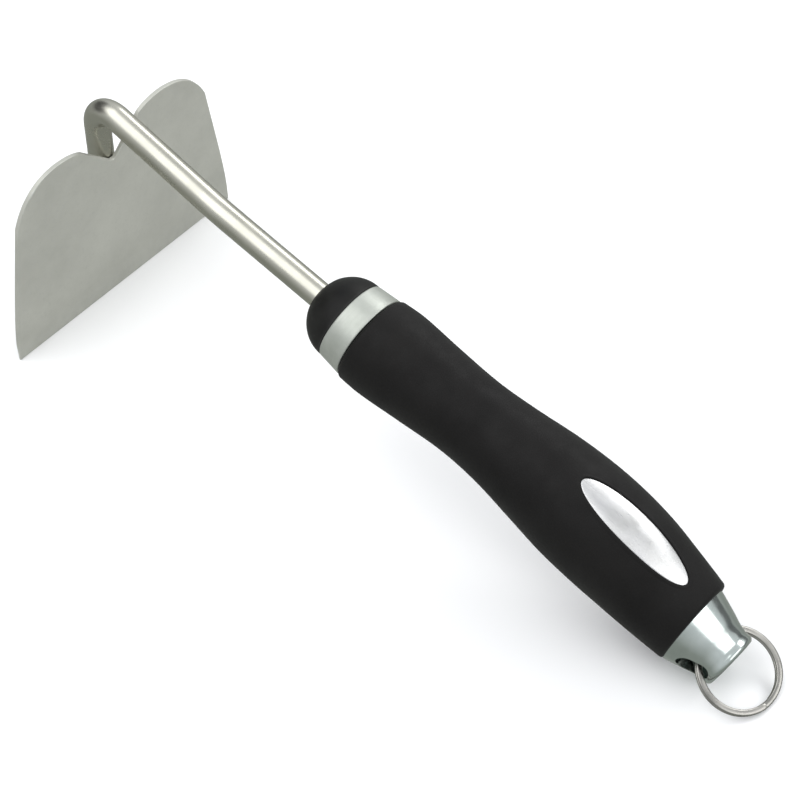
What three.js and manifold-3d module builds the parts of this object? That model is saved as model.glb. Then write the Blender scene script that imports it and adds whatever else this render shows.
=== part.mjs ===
// Hand weeder: a stamped steel blade on a bent rod, with a soft-gripped handle, a metal ferrule
// and a hanging ring in the end cap.
//
// Millimetres. Every piece is first laid out in the tool frame: X runs along the handle from the
// ferrule's front edge towards the butt, Z is the badge side and Y is across the blade. At the end
// the whole tool is tilted and set down on its cutting edge and the lip of its end cap.

import * as THREE from 'three';
import { mergeVertices } from 'three/addons/utils/BufferGeometryUtils.js';
import Module from 'manifold-3d';

const wasm = await Module();
wasm.setup();

// ---------------------------------------------------------------- driving dimensions

const joinGap = 0.3;                   // clearance between pieces that touch on the real tool
const deg = Math.PI / 180;

// Blade: a flat trapezoid with two lobes and a V notch along its top.
const bladeHalfWidth = 46.2;           // along the cutting edge
const bladeThickness = 1.4;
const bladeLean = 11.8 * deg;          // top leans away from the handle
const shoulderHalfWidth = 39.0;
const shoulderHeight = 53.2;
const lobeHeight = 67.2;
const lobeCentre = 21.5;               // sideways from the middle
const notchHeight = 53.8;
const notchHalfWidth = 11.5;           // where the notch's sides run out into the lobes
const notchRise = 11.0;                // height of those sides
const notchRoot = 1.5;                 // half width of the rounding at the notch's bottom
const edgeLand = 0.7;                  // flat left along the cutting edge
const bevelHeight = 6.0;
const edgeX = -81.9;                   // cutting edge in the tool frame
const edgeZ = -73.3;

// Rod: a straight tang and neck, a slight kink, the hook and the leg behind the blade.
const rodRadius = 4.0;
const rodSlope = 0.039;                // of the tang and neck, through the ferrule's centre
const rodKinkX = -52.0;
const hookCornerZ = -0.4;              // where the neck's and the leg's centre lines would meet
const hookRadius = 8.0;
const kinkRadius = 120.0;
const legEndHeight = 28.0;             // leg's end, up the blade from the cutting edge
const tangEnd = 92.0;
const tangFlat = 2.9;                  // half thickness of the flattened tang end
const tangFlatLength = 16.0;
const weldLength = 22.0;
const weldRadius = 1.9;
const weldOut = 1.2;                   // bead's centre, off the blade
const weldAside = 3.4;                 // and to the side of the leg's centre line

// Nose, ferrule and grip.
const noseLength = 11.6;
const noseSpigotLength = 2.5;
const ferruleFront = 12.6;             // radii of the slightly flared band
const ferruleRear = 13.4;
const ferruleLength = 7.8;
const ferruleWall = 1.3;
const gripStart = ferruleLength + joinGap;
const gripEnd = 127.6;
const gripWall = 2.5;
const gripEdgeRound = 0.9;
// Stations of the grip: X, height of the centre line, radius.
const gripStations = [
  [gripStart, 0.0, 13.9],
  [16.0, 0.9, 14.2],
  [30.0, 2.3, 13.25],
  [45.0, 4.0, 12.42],
  [58.0, 5.2, 13.05],
  [72.0, 5.65, 14.7],
  [84.0, 5.2, 15.8],
  [95.0, 4.7, 15.98],
  [106.0, 3.7, 15.45],
  [117.0, 1.8, 14.35],
  [gripEnd, 0.0, 13.05],
];

// Badge let into the top of the palm swell.
const badgeLength = 38.8;
const badgeWidth = 10.6;
const badgeX = 101.2;
const badgeTurn = -4 * deg;            // about the handle, from the top line
const badgeInset = 0.25;               // below the grip's surface
const badgeThickness = 1.2;
const padThickness = 0.75;

// End cap and the slot that the ring hangs in. Distances along the cap are from its base.
const capX = gripEnd + joinGap;
const capZ = -1.8;
const capDroop = 5 * deg;
const capOutline = [
  [-1.4, 12.4], [0, 12.0], [3.3, 11.0], [6.0, 10.15], [8.7, 9.2], [11.3, 8.65],
];
const capLip = [13.4, 8.6];
const capEnd = [14.1, 7.95];
const spigotRadius = 7.5;
const spigotLength = 9.0;
const slotLength = 8.3;
const slotHeight = 5.5;
const slotCentre = 7.35;
const hollowRadius = 4.6;
const hollowHalfWidth = 6.8;
const hollowCentre = 7.0;
const ringPivot = 9.8;

// Split ring: two turns of flat wire.
const ringMeanRadius = 11.5;
const ringWireWidth = 1.8;
const ringWireThickness = 1.0;
const ringTurnGap = 0.12;
const ringPivotDepth = 7.4;            // from the ring's centre to the chord it swings about
const ringDroop = 10.0 * deg;          // below the tool frame's X at rest
const ringTwist = 6 * deg;             // how the ring lies in its slot, about X

// Facets.
const roundSides = 40;
const boreSides = 24;
const wireSides = 8;

// ---------------------------------------------------------------- materials

function metal(colour, roughness) {
  return new THREE.MeshStandardMaterial({ color: colour, roughness, metalness: 1.0 });
}

function plastic(colour, roughness) {
  return new THREE.MeshStandardMaterial({ color: colour, roughness, metalness: 0.0 });
}

const satinSteel = metal(0xa9aca4, 0.42);
const polishedSteel = metal(0xc2c3b6, 0.2);
const weldSteel = metal(0x8c8a80, 0.5);
const brushedBand = metal(0xd6d9d2, 0.32);
const castSilver = metal(0xc3cecb, 0.22);
const ringSteel = metal(0xa9a69c, 0.3);
const blackNose = plastic(0x1b1b1a, 0.55);
const blackGrip = plastic(0x2c2b29, 0.8);
const corePlastic = plastic(0x3a3a3c, 0.6);
const padFoam = plastic(0x55534e, 0.95);

// ---------------------------------------------------------------- geometry helpers

// A closed body through a list of rings of points. With closed set, the last ring joins the
// first again, and otherwise both ends are capped.
function loft(rings, closed = false) {
  const count = rings[0].length;
  const positions = rings.flat().flatMap((p) => [p.x, p.y, p.z]);
  const index = [];
  const spans = closed ? rings.length : rings.length - 1;
  for (let i = 0; i < spans; i += 1) {
    const a = i * count;
    const b = ((i + 1) % rings.length) * count;
    for (let j = 0; j < count; j += 1) {
      const k = (j + 1) % count;
      index.push(a + j, b + k, b + j, a + j, a + k, b + k);
    }
  }
  if (!closed) {
    addCap(positions, index, rings[0], 0, true);
    addCap(positions, index, rings.at(-1), (rings.length - 1) * count, false);
  }
  const geometry = new THREE.BufferGeometry();
  geometry.setAttribute('position', new THREE.Float32BufferAttribute(positions, 3));
  geometry.setIndex(index);
  return facingOut(geometry);
}

// A fan of triangles over one end ring of a loft.
function addCap(positions, index, ring, start, flip) {
  const middle = new THREE.Vector3();
  ring.forEach((p) => middle.addScaledVector(p, 1 / ring.length));
  const centre = positions.length / 3;
  positions.push(middle.x, middle.y, middle.z);
  for (let j = 0; j < ring.length; j += 1) {
    const k = (j + 1) % ring.length;
    if (flip) index.push(start + k, start + j, centre);
    else index.push(start + j, start + k, centre);
  }
}

// Six times the signed volume inside a mesh: negative when its faces point in.
function signedVolume(geometry) {
  const at = geometry.attributes.position;
  const corners = geometry.index.array;
  const [a, b, c] = [new THREE.Vector3(), new THREE.Vector3(), new THREE.Vector3()];
  let total = 0;
  for (let i = 0; i < corners.length; i += 3) {
    a.fromBufferAttribute(at, corners[i]);
    b.fromBufferAttribute(at, corners[i + 1]);
    c.fromBufferAttribute(at, corners[i + 2]);
    total += a.dot(b.cross(c));
  }
  return total;
}

// The same mesh with its faces turned to point outwards.
function facingOut(geometry) {
  if (signedVolume(geometry) > 0) return geometry;
  const corners = Array.from(geometry.index.array);
  for (let i = 0; i < corners.length; i += 3) {
    [corners[i + 1], corners[i + 2]] = [corners[i + 2], corners[i + 1]];
  }
  geometry.setIndex(corners);
  return geometry;
}

// A solid for cutting and joining, from any closed three.js geometry.
function solid(geometry) {
  const bare = geometry.clone();
  bare.deleteAttribute('normal');
  bare.deleteAttribute('uv');
  const merged = facingOut(mergeVertices(bare, 1e-4));
  return new wasm.Manifold(new wasm.Mesh({
    numProp: 3,
    vertProperties: new Float32Array(merged.attributes.position.array),
    triVerts: new Uint32Array(merged.index.array),
  }));
}

// Back from a solid to a three.js geometry.
function shell(body) {
  const mesh = body.getMesh();
  const geometry = new THREE.BufferGeometry();
  geometry.setAttribute('position', new THREE.Float32BufferAttribute(mesh.vertProperties, 3));
  geometry.setIndex(Array.from(mesh.triVerts));
  return geometry;
}

// A round ring of points in the plane across X.
function ringAcrossX(x, centreZ, radius, sides = roundSides) {
  return Array.from({ length: sides }, (_, i) => {
    const angle = (2 * Math.PI * i) / sides;
    return new THREE.Vector3(x, radius * Math.sin(angle), centreZ + radius * Math.cos(angle));
  });
}

// A turned body about X from an outline of [x, radius] pairs that closes on itself.
function turned(outline, sides = roundSides) {
  return loft(outline.map(([x, radius]) => ringAcrossX(x, 0, radius, sides)), true);
}

// A prism along X over an outline in the YZ plane.
function prismAlongX(shape, fromX, toX, curveSegments) {
  const geometry = new THREE.ExtrudeGeometry(shape, {
    depth: toX - fromX,
    bevelEnabled: false,
    curveSegments,
  });
  const basis = new THREE.Matrix4().makeBasis(
    new THREE.Vector3(0, 1, 0),
    new THREE.Vector3(0, 0, 1),
    new THREE.Vector3(1, 0, 0),
  );
  geometry.applyMatrix4(basis);
  return geometry.translate(fromX, 0, 0);
}

// A prism along Y over an outline in the XZ plane.
function prismAlongY(shape, width) {
  const geometry = new THREE.ExtrudeGeometry(shape, { depth: width, bevelEnabled: false });
  return geometry.rotateX(Math.PI / 2).translate(0, width / 2, 0);
}

function named(name, geometry, material) {
  const mesh = new THREE.Mesh(geometry, material);
  mesh.name = name;
  return mesh;
}

// ---------------------------------------------------------------- blade

// A point in side view, up the blade from its cutting edge and behind its front face.
function behindBlade(height, depth) {
  return new THREE.Vector2(
    edgeX - height * Math.sin(bladeLean) - depth * Math.cos(bladeLean),
    edgeZ + height * Math.cos(bladeLean) - depth * Math.sin(bladeLean),
  );
}

// Half of the blade from the front: straight edge, tapered side, shoulder, lobe and half the notch.
function bladeHalfOutline() {
  const foot = -2;                     // trimmed off later by the side view
  const lobeFoot = notchHeight + notchRise;
  const shape = new THREE.Shape();
  shape.moveTo(0, foot);
  shape.lineTo(bladeHalfWidth, foot);
  shape.lineTo(bladeHalfWidth, 0);
  shape.quadraticCurveTo(
    bladeHalfWidth - 1.2, shoulderHeight * 0.26, shoulderHalfWidth, shoulderHeight,
  );
  shape.bezierCurveTo(
    shoulderHalfWidth - 2.2, shoulderHeight + 5.6,
    lobeCentre + 11.0, lobeHeight - 0.6,
    lobeCentre, lobeHeight,
  );
  shape.bezierCurveTo(
    lobeCentre - 5.0, lobeHeight,
    notchHalfWidth + 2.0, lobeFoot + 1.3,
    notchHalfWidth, lobeFoot,
  );
  shape.lineTo(notchRoot, notchHeight + 0.4 * notchRoot);
  shape.quadraticCurveTo(0.4 * notchRoot, notchHeight, 0, notchHeight);
  return shape;
}

// The sheet in side view, ground to a bevel behind the cutting edge. The land that is left is
// level when the tool stands on it.
function bladeSection(restTilt) {
  const shape = new THREE.Shape();
  shape.moveTo(edgeX, edgeZ);
  const top = lobeHeight + 3;
  [[top, 0], [top, bladeThickness], [bevelHeight, bladeThickness]].forEach(([height, depth]) => {
    const { x, y } = behindBlade(height, depth);
    shape.lineTo(x, y);
  });
  shape.lineTo(edgeX - edgeLand * Math.cos(restTilt), edgeZ - edgeLand * Math.sin(restTilt));
  return shape;
}

function makeBlade(restTilt) {
  const reach = 20;
  const half = prismAlongX(bladeHalfOutline(), -reach, reach, 8);
  half.rotateY(-bladeLean).translate(edgeX, 0, edgeZ);
  const rightHalf = solid(half);
  const both = rightHalf.add(rightHalf.mirror([0, 1, 0]));
  const sheet = solid(prismAlongY(bladeSection(restTilt), 2 * bladeHalfWidth + 4));
  return named('blade', shell(sheet.intersect(both)), satinSteel);
}

// ---------------------------------------------------------------- rod and its welds

const legDepth = bladeThickness + joinGap + rodRadius;

// Where the leg's centre line, behind the blade, reaches the hook's corner.
function hookCorner() {
  const foot = behindBlade(0, legDepth);
  const height = (hookCornerZ - foot.y) / Math.cos(bladeLean);
  return behindBlade(height, legDepth);
}

// The corner between two straight runs of the rod, rounded to a radius: a list of stations,
// each a point with the direction of travel there.
function roundedCorner(before, corner, after, radius, steps) {
  const inward = corner.clone().sub(before).normalize();
  const outward = after.clone().sub(corner).normalize();
  const turn = Math.atan2(inward.cross(outward), inward.dot(outward));
  const start = corner.clone().addScaledVector(inward, -radius * Math.tan(Math.abs(turn) / 2));
  const side = new THREE.Vector2(-inward.y, inward.x).multiplyScalar(Math.sign(turn) * radius);
  const centre = start.clone().add(side);
  return Array.from({ length: steps + 1 }, (_, i) => {
    const angle = (turn * i) / steps;
    const origin = new THREE.Vector2();
    return {
      point: side.clone().negate().rotateAround(origin, angle).add(centre),
      direction: inward.clone().rotateAround(origin, angle),
    };
  });
}

function rodStations() {
  const tang = new THREE.Vector2(tangEnd, rodSlope * tangEnd);
  const kink = new THREE.Vector2(rodKinkX, rodSlope * rodKinkX);
  const hook = hookCorner();
  const legEnd = behindBlade(legEndHeight, legDepth);
  const along = kink.clone().sub(tang).normalize();
  const tangStations = [0, tangFlatLength, tangFlatLength + 4].map((distance) => ({
    point: tang.clone().addScaledVector(along, distance),
    direction: along,
  }));
  const down = legEnd.clone().sub(hook).normalize();
  return [
    ...tangStations,
    ...roundedCorner(tang, kink, hook, kinkRadius, 3),
    ...roundedCorner(kink, hook, legEnd, hookRadius, 12),
    { point: legEnd, direction: down },
  ];
}

// Round rings of points square to the rod's axis. The tang's last stretch is flattened.
function makeNeckRod() {
  const rings = rodStations().map(({ point, direction }, station) => {
    const flat = station < 2 ? tangFlat : rodRadius;
    const across = new THREE.Vector3(-direction.y, 0, direction.x);
    return Array.from({ length: boreSides }, (_, i) => {
      const angle = (2 * Math.PI * i) / boreSides;
      const lift = THREE.MathUtils.clamp(rodRadius * Math.cos(angle), -flat, flat);
      const middle = new THREE.Vector3(point.x, rodRadius * Math.sin(angle), point.y);
      return middle.addScaledVector(across, lift);
    });
  });
  return named('neck_rod', loft(rings), polishedSteel);
}

// A straight round bar in side view, between two points.
function barBetween(from, to, radius, sides) {
  const along = to.clone().sub(from);
  const bar = new THREE.CylinderGeometry(radius, radius, along.length(), sides);
  bar.rotateZ(-Math.PI / 2).rotateY(-Math.atan2(along.y, along.x));
  return bar.translate((from.x + to.x) / 2, 0, (from.y + to.y) / 2);
}

// Clearance hole for the straight part of the rod, up to a distance into the handle.
function rodBore(reach) {
  const front = 2 * noseLength;
  const from = new THREE.Vector2(-front, -front * rodSlope);
  const to = new THREE.Vector2(reach, reach * rodSlope);
  return solid(barBetween(from, to, rodRadius + joinGap, boreSides));
}

// One fillet of weld, rippled, in the corner between the leg and the blade's back.
function makeWeldBead(name, side) {
  const ripples = 14;
  const sides = 12;
  const middle = bladeThickness + joinGap + weldOut;
  const rings = [];
  for (let i = 0; i <= ripples; i += 1) {
    const height = legEndHeight + 1 + (weldLength * i) / ripples;
    const taper = Math.sin((Math.PI * (i + 0.8)) / (ripples + 1.6)) ** 0.3;
    const size = weldRadius * taper * (i % 2 ? 1.0 : 0.93);
    rings.push(Array.from({ length: sides }, (_, j) => {
      const angle = (2 * Math.PI * j) / sides;
      const { x, y } = behindBlade(height, middle + size * Math.cos(angle));
      return new THREE.Vector3(x, side * (weldAside + size * Math.sin(angle)), y);
    }));
  }
  const top = lobeHeight;
  const leg = barBetween(
    behindBlade(0, legDepth), behindBlade(top, legDepth), rodRadius + joinGap, boreSides,
  );
  const bladeSpace = prismAlongY(new THREE.Shape([
    behindBlade(0, -legDepth),
    behindBlade(0, bladeThickness + joinGap),
    behindBlade(top, bladeThickness + joinGap),
    behindBlade(top, -legDepth),
  ]), 2 * bladeHalfWidth);
  const bead = solid(loft(rings)).subtract(solid(leg)).subtract(solid(bladeSpace));
  return named(name, shell(bead), weldSteel);
}

// ---------------------------------------------------------------- nose, ferrule and core

// A dome in front of the ferrule, with a spigot into it. The rod passes through.
function makeNoseCap() {
  const mouth = rodRadius + joinGap + 0.9;
  const steps = 9;
  const opening = Math.acos(mouth / ferruleFront);
  const outline = [[-noseLength * Math.sin(opening) - joinGap, 0]];
  for (let i = 0; i <= steps; i += 1) {
    const angle = opening * (1 - i / steps);
    outline.push([-noseLength * Math.sin(angle) - joinGap, ferruleFront * Math.cos(angle)]);
  }
  const spigot = ferruleFront - ferruleWall - joinGap;
  outline.push([-joinGap, spigot], [noseSpigotLength, spigot], [noseSpigotLength, 0]);
  return named('nose_cap', shell(solid(turned(outline)).subtract(rodBore(tangEnd))), blackNose);
}

function makeFerruleBand() {
  const edge = 0.35;
  const outline = [
    [0, ferruleFront - ferruleWall],
    [0, ferruleFront - edge],
    [edge, ferruleFront],
    [ferruleLength - edge, ferruleRear],
    [ferruleLength, ferruleRear - edge],
    [ferruleLength, ferruleFront - ferruleWall],
  ];
  return named('ferrule_band', turned(outline), brushedBand);
}

// Sections of the grip: X, centre height and radius, spaced evenly along the stations' spline.
function gripSections(steps, inset, edgeRound) {
  const points = gripStations.map(([x, z, radius]) => new THREE.Vector3(x, z, radius));
  const spline = new THREE.CatmullRomCurve3(points);
  return Array.from({ length: steps + 1 }, (_, i) => {
    const eased = edgeRound ? 0.5 - 0.5 * Math.cos((Math.PI * i) / steps) : i / steps;
    const { x, y, z } = spline.getPoint(eased);
    const toEnd = Math.min(x - gripStart, gripEnd - x);
    const into = Math.max(0, 1 - toEnd / gripEdgeRound);
    const rounding = edgeRound ? gripEdgeRound * (1 - Math.sqrt(1 - into * into)) : 0;
    return { x, centreZ: y, radius: z - inset - rounding };
  });
}

function sectionRings(sections, sides = roundSides) {
  return sections.map(({ x, centreZ, radius }) => ringAcrossX(x, centreZ, radius, sides));
}

// Hard core under the soft grip, with a neck for the ferrule and blind pockets for the tang at
// the front and for the end cap's spigot at the rear.
function makeHandleCore() {
  const sides = 28;
  const outer = sectionRings(gripSections(14, gripWall + joinGap, false), sides);
  const neck = ferruleFront - ferruleWall - joinGap;
  const neckEnds = [noseSpigotLength + joinGap, gripStart];
  const front = neckEnds.map((x) => ringAcrossX(x, 0, neck, sides));
  const pocketDepth = spigotLength + 1;
  const pocket = new THREE.CylinderGeometry(
    spigotRadius + joinGap, spigotRadius + joinGap, 2 * pocketDepth, boreSides,
  );
  const core = solid(loft([...front, ...outer]));
  const spigotPocket = solid(alongCap(pocket.rotateZ(Math.PI / 2)));
  const drilled = core.subtract(rodBore(tangEnd + 1)).subtract(spigotPocket);
  return named('handle_core', shell(drilled), corePlastic);
}

// ---------------------------------------------------------------- grip and badge

// A prism over the badge's oval, standing through the top of the grip.
function badgePrism(margin) {
  const oval = new THREE.Shape();
  oval.absellipse(0, 0, badgeLength / 2 + margin, badgeWidth / 2 + margin, 0, 2 * Math.PI);
  const foot = 4;                      // inside the core, above its centre
  const top = 34;                      // well above the grip
  const prism = new THREE.ExtrudeGeometry(oval, {
    depth: top - foot, bevelEnabled: false, curveSegments: 20,
  });
  return prism.translate(badgeX, 0, foot).rotateX(-badgeTurn);
}

// The grip's surface moved in by an inset, as a full-length body.
function gripBody(inset) {
  return solid(loft(sectionRings(gripSections(30, inset, true))));
}

// The soft grip, with a window for the badge down to the core.
function makeGripSleeve() {
  const outer = sectionRings(gripSections(30, 0, true));
  const inner = sectionRings(gripSections(14, gripWall, false));
  const sleeve = solid(loft([...outer, ...inner.reverse()], true));
  return named('grip_sleeve', shell(sleeve.subtract(solid(badgePrism(joinGap)))), blackGrip);
}

// A layer that follows the grip's surface between two insets, inside the badge's oval.
function badgeLayer(name, outerInset, thickness, margin, material) {
  const layer = solid(badgePrism(margin)).intersect(gripBody(outerInset));
  return named(name, shell(layer.subtract(gripBody(outerInset + thickness))), material);
}

function makeBadge() {
  const padInset = badgeInset + badgeThickness + joinGap;
  return [
    badgeLayer('badge_plate', badgeInset, badgeThickness, 0, castSilver),
    badgeLayer('badge_pad', padInset, padThickness, -1.0, padFoam),
  ];
}

// ---------------------------------------------------------------- end cap and ring

// Everything that is laid out along the end cap's own axis, from its base.
function alongCap(geometry) {
  return geometry.rotateY(capDroop).translate(capX, 0, capZ);
}

// The cap with its spigot, slotted from side to side and hollowed out inside for the ring.
function makeEndCap() {
  const flare = [[capOutline[0][0], 0], ...capOutline, capLip, capEnd, [capEnd[0], 0]];
  const reachOut = 2 * capLip[0];
  const behindGrip = loft([
    ringAcrossX(capX, 0, reachOut),
    ringAcrossX(capX + reachOut, 0, reachOut),
  ]);
  const spigot = new THREE.CylinderGeometry(
    spigotRadius, spigotRadius, 2 * spigotLength, boreSides,
  );
  const body = solid(alongCap(turned(flare)))
    .intersect(solid(behindGrip))
    .add(solid(alongCap(spigot.rotateZ(Math.PI / 2))));
  const slot = new THREE.Shape();
  const reach = (slotLength - slotHeight) / 2;
  slot.absarc(reach, 0, slotHeight / 2, -Math.PI / 2, Math.PI / 2);
  slot.absarc(-reach, 0, slotHeight / 2, Math.PI / 2, 1.5 * Math.PI);
  const through = prismAlongY(slot, 4 * spigotRadius).translate(slotCentre, 0, 0);
  const hollow = new THREE.CylinderGeometry(
    hollowRadius, hollowRadius, 2 * hollowHalfWidth, boreSides,
  );
  const space = solid(alongCap(through)).add(solid(alongCap(hollow.translate(hollowCentre, 0, 0))));
  return named('end_cap', shell(body.subtract(space)), castSilver);
}

// The ring's wire: two turns of a flat section that climb by one wire each turn.
function makeSplitRing() {
  const turns = 1.98;
  const steps = 84;
  const climb = ringWireThickness + ringTurnGap;
  const rings = [];
  for (let i = 0; i <= steps; i += 1) {
    const angle = (2 * Math.PI * turns * i) / steps;
    const rise = climb * (rampUp(angle / (2 * Math.PI)) - 0.5);
    rings.push(wireSection(angle, rise));
  }
  return named('split_ring', loft(rings), ringSteel);
}

// Height of the wire in turns: level for most of each turn, with one short ramp between them.
function rampUp(turn) {
  const ramp = 0.16;
  return THREE.MathUtils.smoothstep(turn, 1 - ramp, 1 + ramp);
}

// A flat oval section of the wire at an angle round the ring, in the ring's own XY plane.
function wireSection(angle, rise) {
  return Array.from({ length: wireSides }, (_, j) => {
    const around = (2 * Math.PI * (j + 0.5)) / wireSides;
    const radius = ringMeanRadius + (ringWireWidth / 2) * 1.06 * Math.cos(around);
    const height = rise + (ringWireThickness / 2) * 1.06 * Math.sin(around);
    return new THREE.Vector3(radius * Math.cos(angle), radius * Math.sin(angle), height);
  });
}

// ---------------------------------------------------------------- assembly

// A point of the cap's underside in side view, from its distance along the cap and its radius.
function capUnderside([along, radius]) {
  const point = new THREE.Vector2(along, -radius);
  return point.rotateAround(new THREE.Vector2(), -capDroop).add(new THREE.Vector2(capX, capZ));
}

// Tilt of the tool when it stands on its cutting edge and on the end cap's lip.
const lip = capUnderside(capLip);
const restTilt = Math.atan2(lip.y - edgeZ, lip.x - edgeX);

// The ring lies in a group whose origin is the chord that it swings about.
const ringGroup = new THREE.Group();
const ring = makeSplitRing();
ring.position.set(ringPivotDepth, 0, 0);
ringGroup.add(ring);
ringGroup.rotation.set(ringTwist, ringDroop, 0);
ringGroup.position.set(
  capX + ringPivot * Math.cos(capDroop),
  0,
  capZ - ringPivot * Math.sin(capDroop),
);

const tool = new THREE.Group();
tool.add(
  makeBlade(restTilt),
  makeNeckRod(),
  makeWeldBead('weld_bead_left', 1),
  makeWeldBead('weld_bead_right', -1),
  makeNoseCap(),
  makeFerruleBand(),
  makeHandleCore(),
  makeGripSleeve(),
  ...makeBadge(),
  makeEndCap(),
  ringGroup,
);
tool.rotation.y = restTilt;

const handWeeder = new THREE.Group();
handWeeder.add(tool);
handWeeder.updateMatrixWorld(true);
const box = new THREE.Box3().setFromObject(handWeeder, true);
const middle = box.getCenter(new THREE.Vector3());
tool.position.set(-middle.x, -middle.y, -box.min.z);

export default handWeeder;
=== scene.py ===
"""Looks of the hand weeder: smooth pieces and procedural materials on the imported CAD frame.

Lengths are millimetres in the tool frame, as in the CAD source: X runs along the handle from the
ferrule's front edge towards the butt, Z is the badge side. TOOL turns them into metres in the
row frame, where the tool stands on its cutting edge and on the lip of its end cap.
"""
import math

import bmesh
import bpy
from mathutils import Matrix, Vector


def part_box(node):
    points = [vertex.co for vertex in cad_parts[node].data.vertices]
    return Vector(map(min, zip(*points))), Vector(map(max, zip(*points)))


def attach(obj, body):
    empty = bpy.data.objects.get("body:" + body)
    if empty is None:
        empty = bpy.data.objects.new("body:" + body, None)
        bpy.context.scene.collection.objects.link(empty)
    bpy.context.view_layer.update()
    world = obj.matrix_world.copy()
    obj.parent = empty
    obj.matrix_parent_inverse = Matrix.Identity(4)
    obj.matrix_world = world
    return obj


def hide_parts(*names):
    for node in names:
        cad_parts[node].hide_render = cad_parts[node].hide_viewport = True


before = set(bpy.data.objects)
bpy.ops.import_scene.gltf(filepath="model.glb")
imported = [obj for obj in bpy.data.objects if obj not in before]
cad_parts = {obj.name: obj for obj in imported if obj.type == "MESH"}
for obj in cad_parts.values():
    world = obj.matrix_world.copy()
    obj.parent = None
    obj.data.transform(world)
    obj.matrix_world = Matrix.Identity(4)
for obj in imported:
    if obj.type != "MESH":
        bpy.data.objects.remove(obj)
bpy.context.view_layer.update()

# ------------------------------------------------------------------ dimensions

BLADE_HALF_WIDTH = 46.2
BLADE_THICKNESS = 1.4
BLADE_LEAN = math.radians(11.8)
SHOULDER = (39.0, 53.2)
LOBE_TOP = (21.5, 67.2)
NOTCH_SIDE = (11.5, 64.8)
NOTCH_BOTTOM = 53.8
LAND = 0.7                              # flat left along the cutting edge
LAND_DROP = 0.042                       # of its back edge, so that it lies level
GRIND_HEIGHT = 6.0
GRIND_TAPER = 0.32                      # how much narrower the blade is above its grind
BLADE_ROUND = 0.22
EDGE = (-81.9, -73.3)                   # x and z of the cutting edge

ROD_RADIUS = 4.0
ROD_SLOPE = 0.039
ROD_KINK_X = -52.0
KINK_RADIUS = 120.0
HOOK_CORNER_Z = -0.4
HOOK_RADIUS = 8.0
LEG_DEPTH = 5.7
LEG_END = 28.0
LEG_CHAMFER = 0.6
TANG_END = 92.0

WELD_RADIUS = 1.9
WELD_SIDE = 3.4                         # from the middle of the leg
WELD_STANDOFF = 1.3                     # from the back of the blade
WELD_LENGTH = 22.0
WELD_RIPPLE = 1.3

NOSE_LENGTH = 11.6
NOSE_GAP = 0.3                          # to the ferrule
NOSE_INNER = 11.0
NOSE_BORE_GAP = 0.25                    # round the rod
NOSE_MOUTH = 0.8                        # width of the rolled lip at the rod
FERRULE_FRONT = 12.6
FERRULE_REAR = 13.4
FERRULE_LENGTH = 7.8
FERRULE_WALL = 1.3
FERRULE_CROWN = 0.12
GRIP_STATIONS = (
    (8.1, 0.0, 13.9), (16.0, 0.9, 14.2), (30.0, 2.3, 13.25), (45.0, 4.0, 12.42),
    (58.0, 5.2, 13.05), (72.0, 5.65, 14.7), (84.0, 5.2, 15.8), (95.0, 4.7, 15.98),
    (106.0, 3.7, 15.45), (117.0, 1.8, 14.35), (127.6, 0.0, 13.05),
)
GRIP_EDGE_ROUND = 1.0
GRIP_WALL = 2.5
BADGE_X = 101.2
BADGE_HALF = (19.3, 5.2)
BADGE_TURN = math.radians(4)
BADGE_INSET = 0.2
BADGE_THICKNESS = 1.2
BADGE_CROWN = 0.12
WINDOW_GAP = 0.2

CAP_AT = (127.9, -1.8)
CAP_DROOP = math.radians(5)
CAP_PROFILE = (
    (-1.4, 12.4), (0.0, 12.0), (3.3, 11.0), (6.0, 10.15), (8.7, 9.2), (11.3, 8.65),
)
CAP_GROOVE = ((12.3, 8.62), (12.75, 8.75))
CAP_LIP = (13.4, 8.6)
CAP_END = (14.1, 7.95)
CAP_GAP = 0.25                          # to the grip
CAP_ROUND = 0.22
SLOT = (7.5, 9.3, 6.0)                  # centre along the cap, length, height
SLOT_REACH = 16.0                       # half the slot cutter's length, right through the cap
HOLLOW = (7.0, 4.6, 6.8)                # centre along the cap, radius, half width
RING_PIVOT = 9.8
RING_MEAN = 11.5
RING_WIRE = (1.8, 1.0)
RING_DEPTH = 7.4                        # from the pivot to the ring's centre
RING_TURN_GAP = 0.12
RING_TURNS = 1.975
RING_CLIMB = (0.84, 0.32)               # where the wire climbs, in turns: start, length
RING_DROOP = math.radians(10.0)
RING_TWIST = math.radians(6)

# ------------------------------------------------------------------ tool frame to row frame


def up_the_blade(height, depth=0.0):
    """Side-view point (x, z): height up the blade, depth behind its front face."""
    sin, cos = math.sin(BLADE_LEAN), math.cos(BLADE_LEAN)
    return EDGE[0] - height * sin - depth * cos, EDGE[1] + height * cos - depth * sin


def along_the_cap(distance, out=0.0):
    """Side-view point (x, z): distance along the cap's axis, out towards the badge side."""
    sin, cos = math.sin(CAP_DROOP), math.cos(CAP_DROOP)
    return CAP_AT[0] + distance * cos + out * sin, CAP_AT[1] - distance * sin + out * cos


def tool_matrix():
    """Tool frame in millimetres to row frame in metres."""
    lip = along_the_cap(CAP_LIP[0], -CAP_LIP[1])
    tilt = math.atan2(lip[1] - EDGE[1], lip[0] - EDGE[0])
    turn = Matrix.Rotation(tilt, 4, "Y")
    foot = turn @ Vector((EDGE[0], 0, EDGE[1]))
    crown = turn @ Vector((up_the_blade(LOBE_TOP[1])[0], 0, up_the_blade(LOBE_TOP[1])[1]))
    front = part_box("blade")[1].x * 1000
    shift = Matrix.Translation((front - max(foot.x, crown.x), 0, -foot.z))
    return Matrix.Scale(0.001, 4) @ shift @ turn, tilt


TOOL, TILT = tool_matrix()

# ------------------------------------------------------------------ mesh helpers


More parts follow.
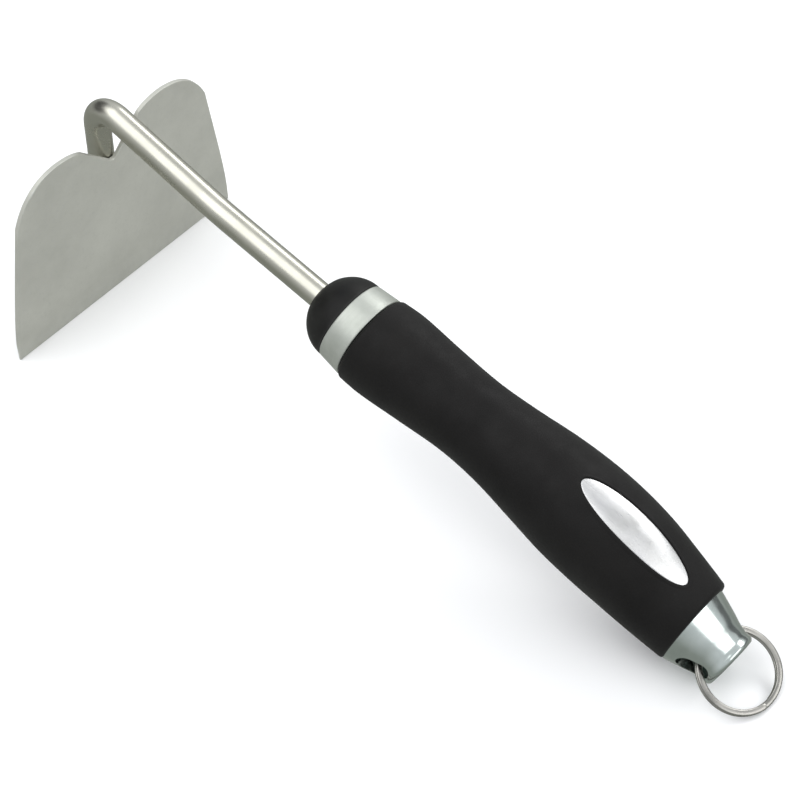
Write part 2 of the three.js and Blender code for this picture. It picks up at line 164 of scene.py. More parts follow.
def make_object(name, points, faces, sharp_angle=40):
    """A smooth-shaded mesh from points in the tool frame."""
    mesh = bpy.data.meshes.new(name)
    mesh.from_pydata([TOOL @ Vector(p) for p in points], [], faces)
    obj = bpy.data.objects.new(name, mesh)
    bpy.context.scene.collection.objects.link(obj)
    shape = bmesh.new()
    shape.from_mesh(mesh)
    bmesh.ops.recalc_face_normals(shape, faces=shape.faces)
    shape.to_mesh(mesh)
    shape.free()
    soften(obj, sharp_angle)
    return obj


def soften(obj, sharp_angle):
    """Smooth shading, with edges sharper than an angle kept crisp."""
    obj.data.shade_smooth()
    obj.data.set_sharp_from_angle(angle=math.radians(sharp_angle))


def loft(name, rings, closed=False, sharp_angle=40):
    """A closed body through rings of points; its ends are capped unless it is closed."""
    count = len(rings[0])
    points = [p for ring in rings for p in ring]
    faces = []
    spans = len(rings) if closed else len(rings) - 1
    for i in range(spans):
        a, b = i * count, (i + 1) % len(rings) * count
        for j in range(count):
            k = (j + 1) % count
            faces.append((a + j, a + k, b + k, b + j))
    if not closed:
        faces.append(tuple(range(count)))
        faces.append(tuple(range(len(points) - count, len(points))))
    return make_object(name, points, faces, sharp_angle)


def circle(sides):
    """Angles all round a circle."""
    return [math.tau * j / sides for j in range(sides)]


def ring_across_x(x, centre_z, radius, sides):
    """A circle of points square to the handle."""
    return [(x, radius * math.sin(a), centre_z + radius * math.cos(a)) for a in circle(sides)]


def rounded(profile, corners, steps=5):
    """A 2D outline with some of its corners rounded: corners maps a point's index to a radius."""
    result = []
    for i, point in enumerate(profile):
        if i not in corners:
            result.append(point)
            continue
        here = Vector(point)
        before = (Vector(profile[i - 1]) - here).normalized() * corners[i]
        after = (Vector(profile[(i + 1) % len(profile)]) - here).normalized() * corners[i]
        for n in range(steps + 1):
            t = n / steps
            result.append(tuple(here + before * (1 - t) ** 2 + after * t ** 2))
    return result


def interpolate(stations, x):
    """Smooth curve through stations (x, values...), by cubic pieces with central slopes."""
    last = len(stations) - 1
    i = max(k for k in range(last) if stations[k][0] <= x or k == 0)
    step = stations[i + 1][0] - stations[i][0]
    t = (x - stations[i][0]) / step
    values = []
    for c in range(1, len(stations[0])):
        slopes = []
        for k in (i, i + 1):
            a, b = stations[max(k - 1, 0)], stations[min(k + 1, last)]
            slopes.append((b[c] - a[c]) / (b[0] - a[0]) * step)
        p, q = stations[i][c], stations[i + 1][c]
        cubic = (2 * p + slopes[0] - 2 * q + slopes[1]) * t ** 3
        square = (-3 * p - 2 * slopes[0] + 3 * q - slopes[1]) * t ** 2
        values.append(cubic + square + slopes[0] * t + p)
    return values


def cut(obj, cutter, sharp_angle=40):
    """Take cutter out of obj, and remove cutter."""
    modifier = obj.modifiers.new("cut", "BOOLEAN")
    modifier.object = cutter
    modifier.operation = "DIFFERENCE"
    modifier.solver = "EXACT"
    bake(obj)
    bpy.data.objects.remove(cutter)
    soften(obj, sharp_angle)


def bake(obj):
    """Make an object's modifiers part of its mesh."""
    bpy.context.view_layer.update()
    evaluated = obj.evaluated_get(bpy.context.evaluated_depsgraph_get())
    mesh = bpy.data.meshes.new_from_object(evaluated)
    obj.modifiers.clear()
    obj.data = mesh


def bevel(obj, width, segments=2, angle=35):
    """Round an object's crisp edges; width is in millimetres."""
    modifier = obj.modifiers.new("bevel", "BEVEL")
    modifier.width = width / 1000
    modifier.segments = segments
    modifier.limit_method = "ANGLE"
    modifier.angle_limit = math.radians(angle)
    modifier.harden_normals = True
    bake(obj)


# ------------------------------------------------------------------ material helpers


MIX_COLOURS = (6, 7)                    # the Mix node's colour sockets, in
MIX_RESULT = 2                          # and out


class Look:
    """Builds one procedural material around a Principled shader."""

    def __init__(self, name, metallic):
        self.material = bpy.data.materials.new(name)
        self.material.use_nodes = True
        self.tree = self.material.node_tree
        self.shader = self.tree.nodes["Principled BSDF"]
        self.shader.inputs["Metallic"].default_value = metallic
        self.place = self.tree.nodes.new("ShaderNodeTexCoord").outputs["Object"]
        self.heights = []

    def node(self, kind, **settings):
        """A new shader node, with its settings."""
        made = self.tree.nodes.new("ShaderNode" + kind)
        for key, value in settings.items():
            setattr(made, key, value)
        return made

    def link(self, source, target):
        self.tree.links.new(source, target)

    def stretched(self, scale):
        """Coordinates in the tool's own directions, scaled along each."""
        turn = self.node("Mapping")
        turn.inputs["Rotation"].default_value = (0, -TILT, 0)
        self.link(self.place, turn.inputs["Vector"])
        size = self.node("Mapping")
        size.inputs["Scale"].default_value = scale
        self.link(turn.outputs["Vector"], size.inputs["Vector"])
        return size.outputs["Vector"]

    def noise(self, scale, detail=4.0, roughness=0.55, where=None):
        """Noise of about 0 to 1; scale is features per metre."""
        made = self.node("TexNoise")
        made.inputs["Scale"].default_value = scale
        made.inputs["Detail"].default_value = detail
        made.inputs["Roughness"].default_value = roughness
        self.link(where or self.place, made.inputs["Vector"])
        return made.outputs["Fac"]

    def spread(self, value, low, high, start=0.3, end=0.7):
        """A value between low and high as the input goes from start to end."""
        made = self.node("MapRange")
        made.inputs["From Min"].default_value = start
        made.inputs["From Max"].default_value = end
        made.inputs["To Min"].default_value = low
        made.inputs["To Max"].default_value = high
        self.link(value, made.inputs["Value"])
        return made.outputs["Result"]

    def blend(self, amount, first, second):
        """A colour between two: each is a colour or a socket."""
        made = self.node("Mix", data_type="RGBA")
        self.link(amount, made.inputs["Factor"])
        for socket, colour in zip((made.inputs[i] for i in MIX_COLOURS), (first, second)):
            if isinstance(colour, tuple):
                socket.default_value = (*colour, 1)
            else:
                self.link(colour, socket)
        return made.outputs[MIX_RESULT]

    def edges(self, start=0.52, end=0.6):
        """0 on flat and hollow places, 1 on raised edges."""
        geometry = self.node("NewGeometry")
        return self.spread(geometry.outputs["Pointiness"], 0, 1, start, end)

    def product(self, a, b):
        """Two sockets multiplied."""
        made = self.node("Math", operation="MULTIPLY")
        self.link(a, made.inputs[0])
        self.link(b, made.inputs[1])
        return made.outputs["Value"]

    def bump(self, height, distance, strength=1.0):
        """Relief of a height socket; distance is in millimetres. Later calls add to earlier."""
        made = self.node("Bump")
        made.inputs["Distance"].default_value = distance / 1000
        made.inputs["Strength"].default_value = strength
        self.link(height, made.inputs["Height"])
        if self.heights:
            self.link(self.heights[-1], made.inputs["Normal"])
        self.heights.append(made.outputs["Normal"])

    def finish(self, colour, roughness):
        """Plug in the last sockets and hand over the material."""
        self.link(colour, self.shader.inputs["Base Color"])
        self.link(roughness, self.shader.inputs["Roughness"])
        if self.heights:
            self.link(self.heights[-1], self.shader.inputs["Normal"])
        return self.material


# ------------------------------------------------------------------ materials


def blade_steel():
    """Satin rolled sheet: soft cloudy mottling, fine cross-grain and paler worn edges."""
    look = Look("blade_steel", metallic=0.4)
    clouds = look.noise(45, detail=5)
    colour = look.blend(look.spread(clouds, 0, 1), (0.42, 0.422, 0.378), (0.50, 0.502, 0.45))
    specks = look.noise(900, detail=3)
    colour = look.blend(look.spread(specks, 0, 0.35, 0.55, 0.8), colour, (0.36, 0.36, 0.33))
    worn = look.product(look.edges(), look.noise(300))
    colour = look.blend(worn, colour, (0.72, 0.72, 0.69))
    grain = look.noise(1, detail=4, where=look.stretched((2500, 60, 2500)))
    look.bump(grain, 0.02, 0.35)
    look.bump(look.noise(260, detail=6), 0.03, 0.3)
    look.shader.inputs["Anisotropic"].default_value = 0.3
    roughness = look.spread(look.noise(120, detail=6), 0.36, 0.5)
    return look.finish(colour, roughness)


def rod_steel():
    """Polished bar: faint drawing lines along it, small handling marks."""
    look = Look("rod_steel", metallic=1.0)
    clouds = look.noise(60, detail=4)
    colour = look.blend(look.spread(clouds, 0, 1), (0.45, 0.445, 0.385), (0.53, 0.52, 0.46))
    lines = look.noise(1, detail=3, where=look.stretched((30, 1600, 1600)))
    look.bump(lines, 0.006, 0.2)
    marks = look.noise(140, detail=4)
    roughness = look.spread(marks, 0.24, 0.34)
    return look.finish(colour, roughness)


def weld_steel():
    """Brushed weld metal: darker, rough and a little brown in patches."""
    look = Look("weld_steel", metallic=0.9)
    patches = look.noise(500, detail=6)
    colour = look.blend(look.spread(patches, 0, 1), (0.34, 0.30, 0.25), (0.58, 0.57, 0.53))
    look.bump(look.noise(1500, detail=6), 0.03, 0.4)
    roughness = look.spread(look.noise(800), 0.4, 0.7)
    return look.finish(colour, roughness)


def nose_plastic():
    """Satin black moulding with a fine spark-eroded texture."""
    look = Look("nose_plastic", metallic=0.0)
    clouds = look.noise(150, detail=3)
    colour = look.blend(look.spread(clouds, 0, 1), (0.006, 0.006, 0.006), (0.012, 0.012, 0.011))
    rubbed = look.product(look.edges(0.5, 0.58), look.noise(400))
    colour = look.blend(rubbed, colour, (0.05, 0.05, 0.048))
    look.bump(look.noise(4200, detail=2), 0.02, 0.4)
    look.shader.inputs["Specular IOR Level"].default_value = 0.12
    roughness = look.spread(look.noise(300, detail=5), 0.4, 0.52)
    return look.finish(colour, roughness)


def ferrule_silver():
    """Satin band, brushed round the handle."""
    look = Look("ferrule_silver", metallic=0.65)
    lines = look.noise(1, detail=4, where=look.stretched((3500, 90, 90)))
    clouds = look.noise(140, detail=5)
    colour = look.blend(look.spread(clouds, 0, 1), (0.38, 0.40, 0.36), (0.47, 0.49, 0.45))
    look.bump(lines, 0.02, 0.3)
    roughness = look.spread(lines, 0.38, 0.52)
    return look.finish(colour, roughness)


def core_plastic():
    """Hard grey-black moulding under the grip."""
    look = Look("core_plastic", metallic=0.0)
    clouds = look.noise(200, detail=4)
    colour = look.blend(look.spread(clouds, 0, 1), (0.03, 0.03, 0.032), (0.05, 0.05, 0.052))
    look.bump(look.noise(2500), 0.02, 0.4)
    return look.finish(colour, look.spread(look.noise(500), 0.45, 0.6))


def grip_rubber():
    """Soft-touch rubber: fine leathery grain, dull sheen, slightly greyer where it is handled."""
    look = Look("grip_rubber", metallic=0.0)
    clouds = look.noise(60, detail=5)
    colour = look.blend(look.spread(clouds, 0, 1), (0.0045, 0.0042, 0.0040), (0.0085, 0.0080, 0.0076))
    dust = look.noise(2200, detail=4, roughness=0.7)
    colour = look.blend(look.spread(dust, 0, 0.4, 0.6, 0.85), colour, (0.035, 0.033, 0.031))
    cells = look.node("TexVoronoi", feature="SMOOTH_F1")
    cells.inputs["Scale"].default_value = 1900
    look.link(look.place, cells.inputs["Vector"])
    look.bump(cells.outputs["Distance"], 0.05, 0.5)
    look.bump(look.noise(500, detail=5), 0.04, 0.3)
    look.shader.inputs["Sheen Weight"].default_value = 0.02
    look.shader.inputs["Specular IOR Level"].default_value = 0.13
    look.shader.inputs["Sheen Roughness"].default_value = 0.6
    roughness = look.spread(look.noise(180, detail=6), 0.5, 0.66)
    return look.finish(colour, roughness)


def badge_metal():
    """Plate brushed along its length."""
    look = Look("badge_metal", metallic=1.0)
    lines = look.noise(1, detail=5, where=look.stretched((60, 4200, 4200)))
    clouds = look.noise(160, detail=4)
    colour = look.blend(look.spread(clouds, 0, 1), (0.54, 0.54, 0.53), (0.64, 0.64, 0.64))
    colour = look.blend(look.spread(lines, 0, 0.35, 0.5, 0.8), colour, (0.5, 0.5, 0.48))
    look.bump(lines, 0.02, 0.4)
    look.shader.inputs["Anisotropic"].default_value = 0.5
    roughness = look.spread(lines, 0.26, 0.44)
    return look.finish(colour, roughness)


def pad_foam():
    """Grey adhesive foam."""
    look = Look("pad_foam", metallic=0.0)
    cells = look.noise(1800, detail=5)
    colour = look.blend(look.spread(cells, 0, 1), (0.12, 0.115, 0.105), (0.2, 0.19, 0.175))
    look.bump(cells, 0.1, 0.6)
    return look.finish(colour, look.spread(cells, 0.8, 0.95))


def cap_chrome():
    """Bright plating over a cast body: a slight orange-peel ripple and a cool tint."""
    look = Look("cap_chrome", metallic=1.0)
    clouds = look.noise(120, detail=4)
    colour = look.blend(look.spread(clouds, 0, 1), (0.47, 0.52, 0.50), (0.58, 0.63, 0.61))
    look.bump(look.noise(450, detail=2), 0.03, 0.2)
    roughness = look.spread(look.noise(260, detail=6), 0.12, 0.24)
    return look.finish(colour, roughness)


def ring_steel():
    """Spring wire, slightly dull, a little darker in patches."""
    look = Look("ring_steel", metallic=1.0)
    patches = look.noise(160, detail=3)
    colour = look.blend(look.spread(patches, 0, 1), (0.27, 0.265, 0.245), (0.38, 0.37, 0.345))
    look.bump(look.noise(2400, detail=3), 0.006, 0.3)
    return look.finish(colour, look.spread(patches, 0.22, 0.34))


# ------------------------------------------------------------------ blade


def bezier(a, b, c, d, steps):
    """Points after a on a cubic curve from a to d."""
    points = []
    for n in range(1, steps + 1):
        t = n / steps
        weights = ((1 - t) ** 3, 3 * t * (1 - t) ** 2, 3 * t * t * (1 - t), t ** 3)
        points.append(tuple(
            sum(w * p[k] for w, p in zip(weights, (a, b, c, d))) for k in (0, 1)
        ))
    return points


def blade_half_outline():
    """From the end of the cutting edge, over a lobe and down into the notch: (y, height)."""
    foot = (BLADE_HALF_WIDTH, 0.0)
    grind = (BLADE_HALF_WIDTH - GRIND_TAPER, GRIND_HEIGHT)
    side = bezier(grind, (BLADE_HALF_WIDTH - 1.0, 17), (41.7, 36), SHOULDER, 16)
    over = bezier(SHOULDER, (36.8, 58.6), (32.3, 66.6), LOBE_TOP, 28)
    back = bezier(LOBE_TOP, (16.5, 67.2), (13.5, 66.1), NOTCH_SIDE, 10)
    down = bezier(NOTCH_SIDE, (8.2, 61.2), (3.4, 56.6), (1.3, NOTCH_BOTTOM + 0.55), 10)
    root = bezier(down[-1], (0.7, NOTCH_BOTTOM), (0.4, NOTCH_BOTTOM), (0, NOTCH_BOTTOM), 4)
    return [foot, grind, *side, *over, *back, *down, *root]


def make_blade():
    """Flat sheet whose back slopes in to a narrow land along the cutting edge."""
    half = blade_half_outline()
    outline = half + [(-y, height) for y, height in reversed(half[:-1])]
    front, back = [], []
    for y, height in outline:
        x, z = up_the_blade(height)
        front.append((x, y, z))
        if height == 0:
            x, z = up_the_blade(-LAND_DROP, LAND)
        else:
            x, z = up_the_blade(height, BLADE_THICKNESS)
        back.append((x, y, z))
    n = len(outline)
    faces = [tuple(range(n)), tuple(range(n + 1, 2 * n - 1))]
    faces += [(i, (i + 1) % n, n + (i + 1) % n, n + i) for i in range(n)]
    faces.append((n, n + 1, 2 * n - 2, 2 * n - 1))
    blade = make_object("blade_sheet", front + back, faces, 25)
    bevel(blade, BLADE_ROUND, 3, 25)
    return blade


# ------------------------------------------------------------------ rod and welds


def rounded_corner(before, corner, after, radius, steps):
    """Stations (point, direction) round a corner between two straight runs."""
    inward = (corner - before).normalized()
    outward = (after - corner).normalized()
    turn = -inward.angle_signed(outward)
    start = corner - inward * radius * math.tan(abs(turn) / 2)
    side = Vector((-inward.y, inward.x)) * math.copysign(radius, turn)
    stations = []
    for i in range(steps + 1):
        spin = Matrix.Rotation(turn * i / steps, 2)
        stations.append((start + side + spin @ (-side), spin @ inward))
    return stations


def rod_stations():
    """Points and directions along the rod: tang, kinked neck, hook and leg."""
    tang = Vector((TANG_END, ROD_SLOPE * TANG_END))
    kink = Vector((ROD_KINK_X, ROD_SLOPE * ROD_KINK_X))
    foot = up_the_blade(0, LEG_DEPTH)
    corner_height = (HOOK_CORNER_Z - foot[1]) / math.cos(BLADE_LEAN)
    hook = Vector(up_the_blade(corner_height, LEG_DEPTH))
    end = Vector(up_the_blade(LEG_END, LEG_DEPTH))
    along = (kink - tang).normalized()
    down = (end - hook).normalized()
    return [
        (tang, along),
        *rounded_corner(tang, kink, hook, KINK_RADIUS, 12),
        *rounded_corner(kink, hook, end, HOOK_RADIUS, 40),
        (end - down * LEG_CHAMFER, down),
        (end, down),
    ]


def make_rod():
    """One round bar from the tang to the chamfered end of the leg."""
    rings = []
    stations = rod_stations()
    for n, (point, direction) in enumerate(stations):
        radius = ROD_RADIUS - (LEG_CHAMFER if n == len(stations) - 1 else 0)
        across = (-direction.y, direction.x)
        rings.append([
            (point.x + radius * math.cos(a) * across[0],
             radius * math.sin(a),
             point.y + radius * math.cos(a) * across[1])
            for a in circle(64)
        ])
    return loft("rod_bar", rings)


def make_weld(name, side):
    """A rippled fillet, half sunk in the leg and in the blade."""
    rings = []
    steps = 150
    for i in range(steps + 1):
        along = WELD_LENGTH * i / steps
        taper = math.sin(math.pi * (i + 3) / (steps + 6)) ** 0.3
        phase = (along / WELD_RIPPLE) % 1
        size = WELD_RADIUS * taper * (1 - 0.12 * (1 - math.sin(math.pi * phase) ** 0.6))
        ring = []
        for a in circle(28):
            sag = 0.35 * math.cos(a - math.pi / 4) * side
            height = LEG_END + 1 + along - sag
            x, z = up_the_blade(height, BLADE_THICKNESS + WELD_STANDOFF + size * math.cos(a))
            ring.append((x, side * (WELD_SIDE + size * math.sin(a)), z))
        rings.append(ring)
    return loft(name, rings)


# ------------------------------------------------------------------ nose, ferrule and grip


def make_nose():
    """The dome, with a rolled lip round the rod and a thin step at the ferrule."""
    bore = ROD_RADIUS + NOSE_BORE_GAP
    mouth = bore + NOSE_MOUTH
    opening = math.acos(mouth / FERRULE_FRONT)
    tip = -NOSE_LENGTH * math.sin(opening) - NOSE_GAP
    profile = [(tip + 3, bore), (tip + 0.4, bore)]
    profile += [(tip - 0.05, bore + 0.15), (tip - 0.12, bore + 0.45)]
    for i in range(33):
        angle = opening * (1 - i / 32)
        profile.append((-NOSE_LENGTH * math.sin(angle) - NOSE_GAP,
                        FERRULE_FRONT * math.cos(angle)))
    profile += [(-0.08, FERRULE_FRONT - 0.12), (0.0, FERRULE_FRONT - 0.5)]
    profile += [(0.4, NOSE_INNER), (2.5, NOSE_INNER)]
    profile += [(2.5, bore)]
    rings = []
    for x, radius in profile:
        centre = ROD_SLOPE * x * max(0, min(1, (mouth + 2.5 - radius) / 2.5))
        rings.append(ring_across_x(x, centre, radius, 112))
    return loft("nose_dome", rings, closed=True)


def make_ferrule():
    """A slightly crowned band with rounded rims."""
    inner = FERRULE_FRONT - FERRULE_WALL
    profile = [(0, inner), (0, FERRULE_FRONT), (FERRULE_LENGTH, FERRULE_REAR)]
    profile += [(FERRULE_LENGTH, inner)]
    profile = rounded(profile, {1: 0.45, 2: 0.45})
    rings = []
    for x, radius in profile:
        bulge = FERRULE_CROWN * math.sin(math.pi * max(0, min(1, x / FERRULE_LENGTH)))
        rings.append(ring_across_x(x, 0, radius + (bulge if radius > inner else 0), 112))
    return loft("ferrule_ring", rings, closed=True)


def grip_at(x):
    """Centre height and radius of the grip at a distance along it."""
    return interpolate(GRIP_STATIONS, x)


def grip_profile(rows):
    """Outer sections (x, centre, radius) with rounded-over ends."""
    start, end = GRIP_STATIONS[0][0], GRIP_STATIONS[-1][0]
    sections = []
    ease = [0, 0.03, 0.12, 0.27, 0.5, 0.76, 1.0]
    xs = [start + GRIP_EDGE_ROUND * e for e in ease]
    run = end - start - 2 * GRIP_EDGE_ROUND
    xs += [start + GRIP_EDGE_ROUND + run * i / rows for i in range(1, rows)]
    xs += [end - GRIP_EDGE_ROUND * e for e in reversed(ease)]
    for x in xs:
        centre, radius = grip_at(x)
        into = max(0, 1 - min(x - start, end - x) / GRIP_EDGE_ROUND)
        sections.append((x, centre, radius - GRIP_EDGE_ROUND * (1 - math.sqrt(1 - into ** 2))))
    return sections


def on_grip(x, across, depth):
    """A point under the grip's surface, in the badge's turned frame: across is sideways."""
    centre, radius = grip_at(x)
    sin, cos = math.sin(BADGE_TURN), math.cos(BADGE_TURN)
    side, up = centre * sin, centre * cos
    height = up + math.sqrt((radius - depth) ** 2 - (across - side) ** 2)
    return (x, across * cos - height * sin, across * sin + height * cos)


def badge_ring(scale, depth, extra=0.0, sides=144):
    """One oval ring on the grip's surface: scale of the badge's size, plus extra all round."""
    ring = []
    for a in circle(sides):
        along = (BADGE_HALF[0] * scale + extra) * math.cos(a)
        across = (BADGE_HALF[1] * scale + extra) * math.sin(a)
        ring.append(on_grip(BADGE_X + along, across, depth))
    return ring


def make_grip():
    """The sleeve, with an oval window cut through it for the badge."""
    sides = 128
    outer = [ring_across_x(*section, sides) for section in grip_profile(120)]
    inner = []
    for x in (GRIP_STATIONS[-1][0], 100.0, 60.0, 30.0, GRIP_STATIONS[0][0]):
        centre, radius = grip_at(x)
        inner.append(ring_across_x(x, centre, radius - GRIP_WALL, sides))
    sleeve = loft("grip_body", outer + inner, closed=True)
    window = [badge_ring(1, depth, WINDOW_GAP) for depth in (-2.0, 0.0, 3.6)]
    cut(sleeve, loft("window", window))
    return sleeve


def make_grip_rim():
    """A soft bead of rubber round the window."""
    profile = [(1.5, 0.12), (1.2, 0.0), (0.8, -0.13), (0.45, -0.17), (0.2, -0.1), (0.06, 0.06)]
    profile += [(0.05, 1.6), (1.5, 1.6)]
    return loft("grip_rim", [badge_ring(1, depth, out) for out, depth in profile], closed=True)


def make_badge():
    """An oval plate that follows the grip, with a rounded rim and a slight crown."""
    edge = [(1, BADGE_THICKNESS, 0), (1, 0.3, 0), (1, 0.1, -0.05), (1, 0.02, -0.18)]
    scales = (1, 0.8, 0.6, 0.4, 0.2)
    top = [(scale, -BADGE_CROWN * (1 - scale ** 2), -0.4 * scale) for scale in scales]
    rings = [badge_ring(0.02, BADGE_THICKNESS + BADGE_INSET)]
    rings += [badge_ring(s, depth + BADGE_INSET, extra) for s, depth, extra in edge + top]
    rings.append(badge_ring(0.02, BADGE_INSET - BADGE_CROWN))
    return loft("badge_face", rings)


# ------------------------------------------------------------------ end cap and ring


def around_cap(distance, radius, sides):
    """A circle of points square to the cap's axis."""
    ring = []
    for a in circle(sides):
        x, z = along_the_cap(distance, radius * math.cos(a))
        ring.append((x, radius * math.sin(a), z))
    return ring


def cap_radius(distance):
    """Outer radius of the cap's tapered body."""
    return interpolate(CAP_PROFILE, distance)[0]


def make_cap():
    """Tapered cap with a rounded lip, slotted from side to side and hollow inside."""
    sides = 128
    profile = [(CAP_PROFILE[0][0], 5.0)]
    rows = 40
    start, length = CAP_PROFILE[0][0], CAP_PROFILE[-1][0] - CAP_PROFILE[0][0]
    profile += [(d, cap_radius(d)) for d in (start + length * i / rows for i in range(rows + 1))]
    lip = [profile[-1], *CAP_GROOVE, CAP_LIP, CAP_END, (CAP_END[0], 0)]
    profile += rounded(lip, {3: 0.3, 4: 0.3}, 4)[1:-1]
    profile += [(CAP_END[0], radius) for radius in (5.0, 1.0, 0.2)]
    cap = loft("cap_shell", [around_cap(d, r, sides) for d, r in profile])
    joint = CAP_AT[0] - CAP_GAP
    grip_end = [ring_across_x(x, 0, 20, 32) for x in (joint - 10, joint)]
    cut(cap, loft("grip_end", grip_end))
    cut(cap, slot_prism("slot"))
    hollow = []
    for y in (-HOLLOW[2], HOLLOW[2]):
        ring = []
        for a in circle(64):
            x, z = along_the_cap(HOLLOW[0] + HOLLOW[1] * math.cos(a), HOLLOW[1] * math.sin(a))
            ring.append((x, y, z))
        hollow.append(ring)
    cut(cap, loft("hollow", hollow))
    bevel(cap, CAP_ROUND, 2, 50)
    return cap


def slot_prism(name):
    """A bar with round edges that runs right through the cap, sideways."""
    centre, length, height = SLOT
    reach = (length - height) / 2
    outline = []
    for i in range(33):
        a = -math.pi / 2 + math.pi * i / 32
        outline.append((centre + reach + height / 2 * math.cos(a), height / 2 * math.sin(a)))
    for i in range(33):
        a = math.pi / 2 + math.pi * i / 32
        outline.append((centre - reach + height / 2 * math.cos(a), height / 2 * math.sin(a)))
    rings = []
    for y in (-SLOT_REACH, SLOT_REACH):
        side_points = (along_the_cap(d, out) for d, out in outline)
        rings.append([(x, y, z) for x, z in side_points])
    return loft(name, rings)


def ring_matrix():
    """Where the split ring hangs in the cap's slot."""
    pivot = along_the_cap(RING_PIVOT)
    return (Matrix.Translation((pivot[0], 0, pivot[1]))
            @ Matrix.Rotation(RING_TWIST, 4, "X")
            @ Matrix.Rotation(RING_DROOP, 4, "Y")
            @ Matrix.Translation((RING_DEPTH, 0, 0)))


def make_ring():
    """Two turns of flat spring wire with a short climb between them."""
    place = ring_matrix()
    steps, sides = 380, 20
    climb = RING_WIRE[1] + RING_TURN_GAP
    rings = []
    for i in range(steps + 1):
        turn = RING_TURNS * i / steps
        t = max(0, min(1, (turn - RING_CLIMB[0]) / RING_CLIMB[1]))
        rise = climb * (t * t * (3 - 2 * t) - 0.5)
        end_round = min(1, 0.72 + 0.28 * min(i, steps - i) / 2)
        ring = []
        for a in circle(sides):
            power = 0.75
            out = math.copysign(abs(math.cos(a)) ** power, math.cos(a)) * RING_WIRE[0] / 2
            lift = math.copysign(abs(math.sin(a)) ** power, math.sin(a)) * RING_WIRE[1] / 2
            radius = RING_MEAN + out * end_round
            angle = math.tau * turn
            point = Vector((radius * math.cos(angle), radius * math.sin(angle),
                            rise + lift * end_round))
            ring.append(tuple(place @ point))
        rings.append(ring)
    return loft("ring_wire", rings)


# ------------------------------------------------------------------ putting it together


def dress(obj, body, node, material):
    """obj replaces a CAD node, rides on its body and takes the material given."""
    obj.data.materials.clear()
    obj.data.materials.append(material)
    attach(obj, body)
    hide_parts(node)


def build_tool():
    """Every piece with its material; the two hidden ones keep their CAD shapes."""
    rubber = grip_rubber()
    weld = weld_steel()
    dress(make_blade(), "tool", "blade", blade_steel())
    dress(make_rod(), "tool", "neck_rod", rod_steel())
    dress(make_weld("weld_left", 1), "tool", "weld_bead_left", weld)
    dress(make_weld("weld_right", -1), "tool", "weld_bead_right", weld)
    dress(make_nose(), "tool", "nose_cap", nose_plastic())
    dress(make_ferrule(), "tool", "ferrule_band", ferrule_silver())
    dress(make_grip(), "tool", "grip_sleeve", rubber)
    dress(make_grip_rim(), "tool", "grip_sleeve", rubber)
    dress(make_badge(), "tool", "badge_plate", badge_metal())
    dress(make_cap(), "tool", "end_cap", cap_chrome())
    dress(make_ring(), "ring", "split_ring", ring_steel())
    for node, slot, material in (
        ("handle_core", "core_plastic", core_plastic()),
        ("badge_pad", "pad_foam", pad_foam()),
    ):
        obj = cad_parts[node]
        obj.data.materials.clear()
        obj.data.materials.append(material)


def floor_paint():
    """Plain white paper."""
    look = Look("floor_paint", metallic=0.0)
    clouds = look.noise(6, detail=3)
    colour = look.blend(look.spread(clouds, 0, 1), (0.90, 0.90, 0.90), (0.92, 0.92, 0.92))
    return look.finish(colour, look.spread(clouds, 0.6, 0.7))


def build_stage():
    """A wide floor just under the tool, left out of the metal's reflections."""
    bpy.ops.mesh.primitive_plane_add(size=6, location=(0, 0, -0.0002))
    floor = bpy.context.object
    floor.name = "floor"
    floor.data.materials.append(floor_paint())
    floor.visible_glossy = False


def add_softbox(name, at, size, power, aim=(0, 0, 0.03)):
    """A rectangular lamp, in metres and watts."""
    light = bpy.data.lights.new(name, "AREA")
    light.shape = "RECTANGLE"
    light.size, light.size_y = size
    light.energy = power
    lamp = bpy.data.objects.new(name, light)
    lamp.location = at
    lamp.rotation_euler = (Vector(aim) - Vector(at)).to_track_quat("-Z", "Y").to_euler()
    bpy.context.scene.collection.objects.link(lamp)


def add_card(name, at, size, grey, aim=(0, 0, 0.03)):
    """A matt card that the bright metal reflects; the camera doesn't see it."""
    bpy.ops.mesh.primitive_plane_add(size=1, location=at)
    card = bpy.context.object
    card.name = name
    card.scale = (*size, 1)
    card.rotation_euler = (Vector(aim) - Vector(at)).to_track_quat("-Z", "Y").to_euler()
    paint = Look("card_paint", metallic=0.0)
    fibres = paint.noise(40)
    colour = paint.blend(paint.spread(fibres, 0, 1), (grey,) * 3, (grey * 1.2,) * 3)
    card.data.materials.append(paint.finish(colour, paint.spread(fibres, 0.7, 0.9)))
    card.visible_camera = False
    card.visible_shadow = False
    card.visible_diffuse = False


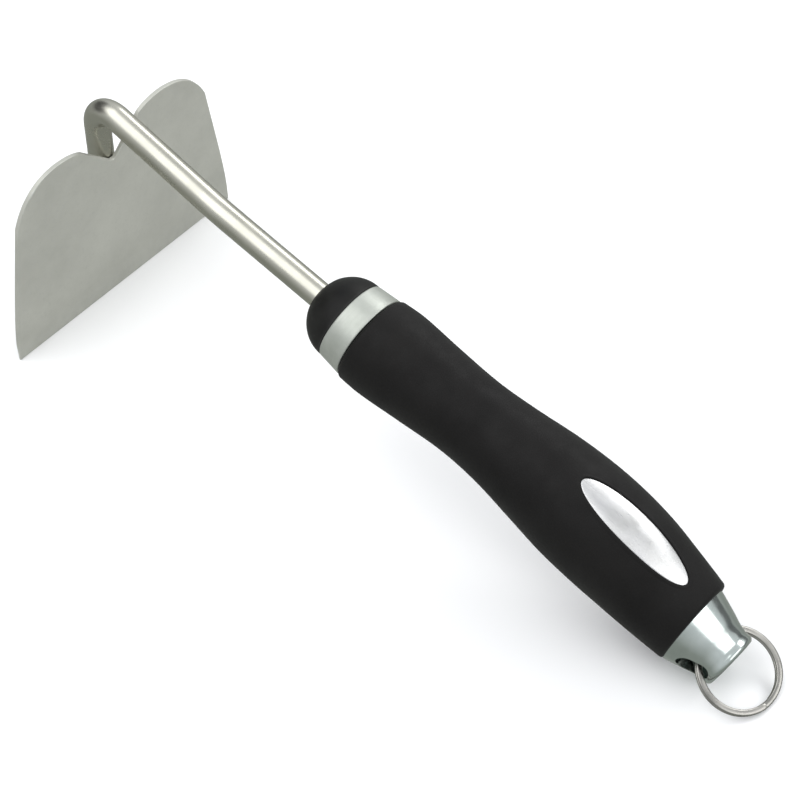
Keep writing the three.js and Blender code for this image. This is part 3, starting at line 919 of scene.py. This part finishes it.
def build_world():
    """A pale room: bright overhead, darker from the horizon down."""
    world = bpy.data.worlds.new("studio")
    world.use_nodes = True
    tree = world.node_tree
    place = tree.nodes.new("ShaderNodeTexCoord")
    split = tree.nodes.new("ShaderNodeSeparateXYZ")
    ramp = tree.nodes.new("ShaderNodeValToRGB")
    dim, bright = ramp.color_ramp.elements
    dim.position, dim.color = 0.35, (0.40, 0.42, 0.39, 1)
    bright.position, bright.color = 0.75, (0.95, 0.97, 1.0, 1)
    half = tree.nodes.new("ShaderNodeMapRange")
    half.inputs["From Min"].default_value = -1
    tree.links.new(place.outputs["Generated"], split.inputs["Vector"])
    tree.links.new(split.outputs["Z"], half.inputs["Value"])
    tree.links.new(half.outputs["Result"], ramp.inputs["Fac"])
    tree.links.new(ramp.outputs["Color"], tree.nodes["Background"].inputs["Color"])
    tree.nodes["Background"].inputs["Strength"].default_value = 0.9
    bpy.context.scene.world = world


def build_lights():
    """Three large softboxes, two cards for the metal to reflect, and the pale room."""
    add_softbox("key", (-0.35, -0.45, 1.1), (1.2, 1.2), 7)
    add_softbox("fill", (1.0, 0.12, 0.72), (1.1, 0.5), 3.4)
    add_softbox("back", (0.1, 1.1, 0.9), (1.2, 0.5), 7)
    add_card("card_left", (-0.7, -0.1, 0.35), (0.9, 0.5), 0.02)
    add_card("card_right", (0.4, 0.85, 0.12), (0.9, 0.3), 0.12)
    build_world()
    bpy.context.scene.view_settings.view_transform = "Standard"


def build_camera():
    """The view of the reference: above the butt end, looking down the tool at its blade."""
    eye = Vector((160.3, -293.4, 517.6))
    ahead = Vector((-0.2200, 0.4704, -0.8546))
    right = Vector((0.7318, 0.6589, 0.1742))
    turn = TOOL.to_3x3() * 1000
    axes = Matrix((turn @ right, turn @ right.cross(ahead), turn @ -ahead)).transposed()
    data = bpy.data.cameras.new("camera")
    data.lens = 98.1
    data.sensor_width = 36
    camera = bpy.data.objects.new("camera", data)
    camera.matrix_world = Matrix.Translation(TOOL @ eye) @ axes.normalized().to_4x4()
    bpy.context.scene.collection.objects.link(camera)
    bpy.context.scene.camera = camera


build_tool()
build_stage()
build_lights()
build_camera()
bpy.context.view_layer.update()
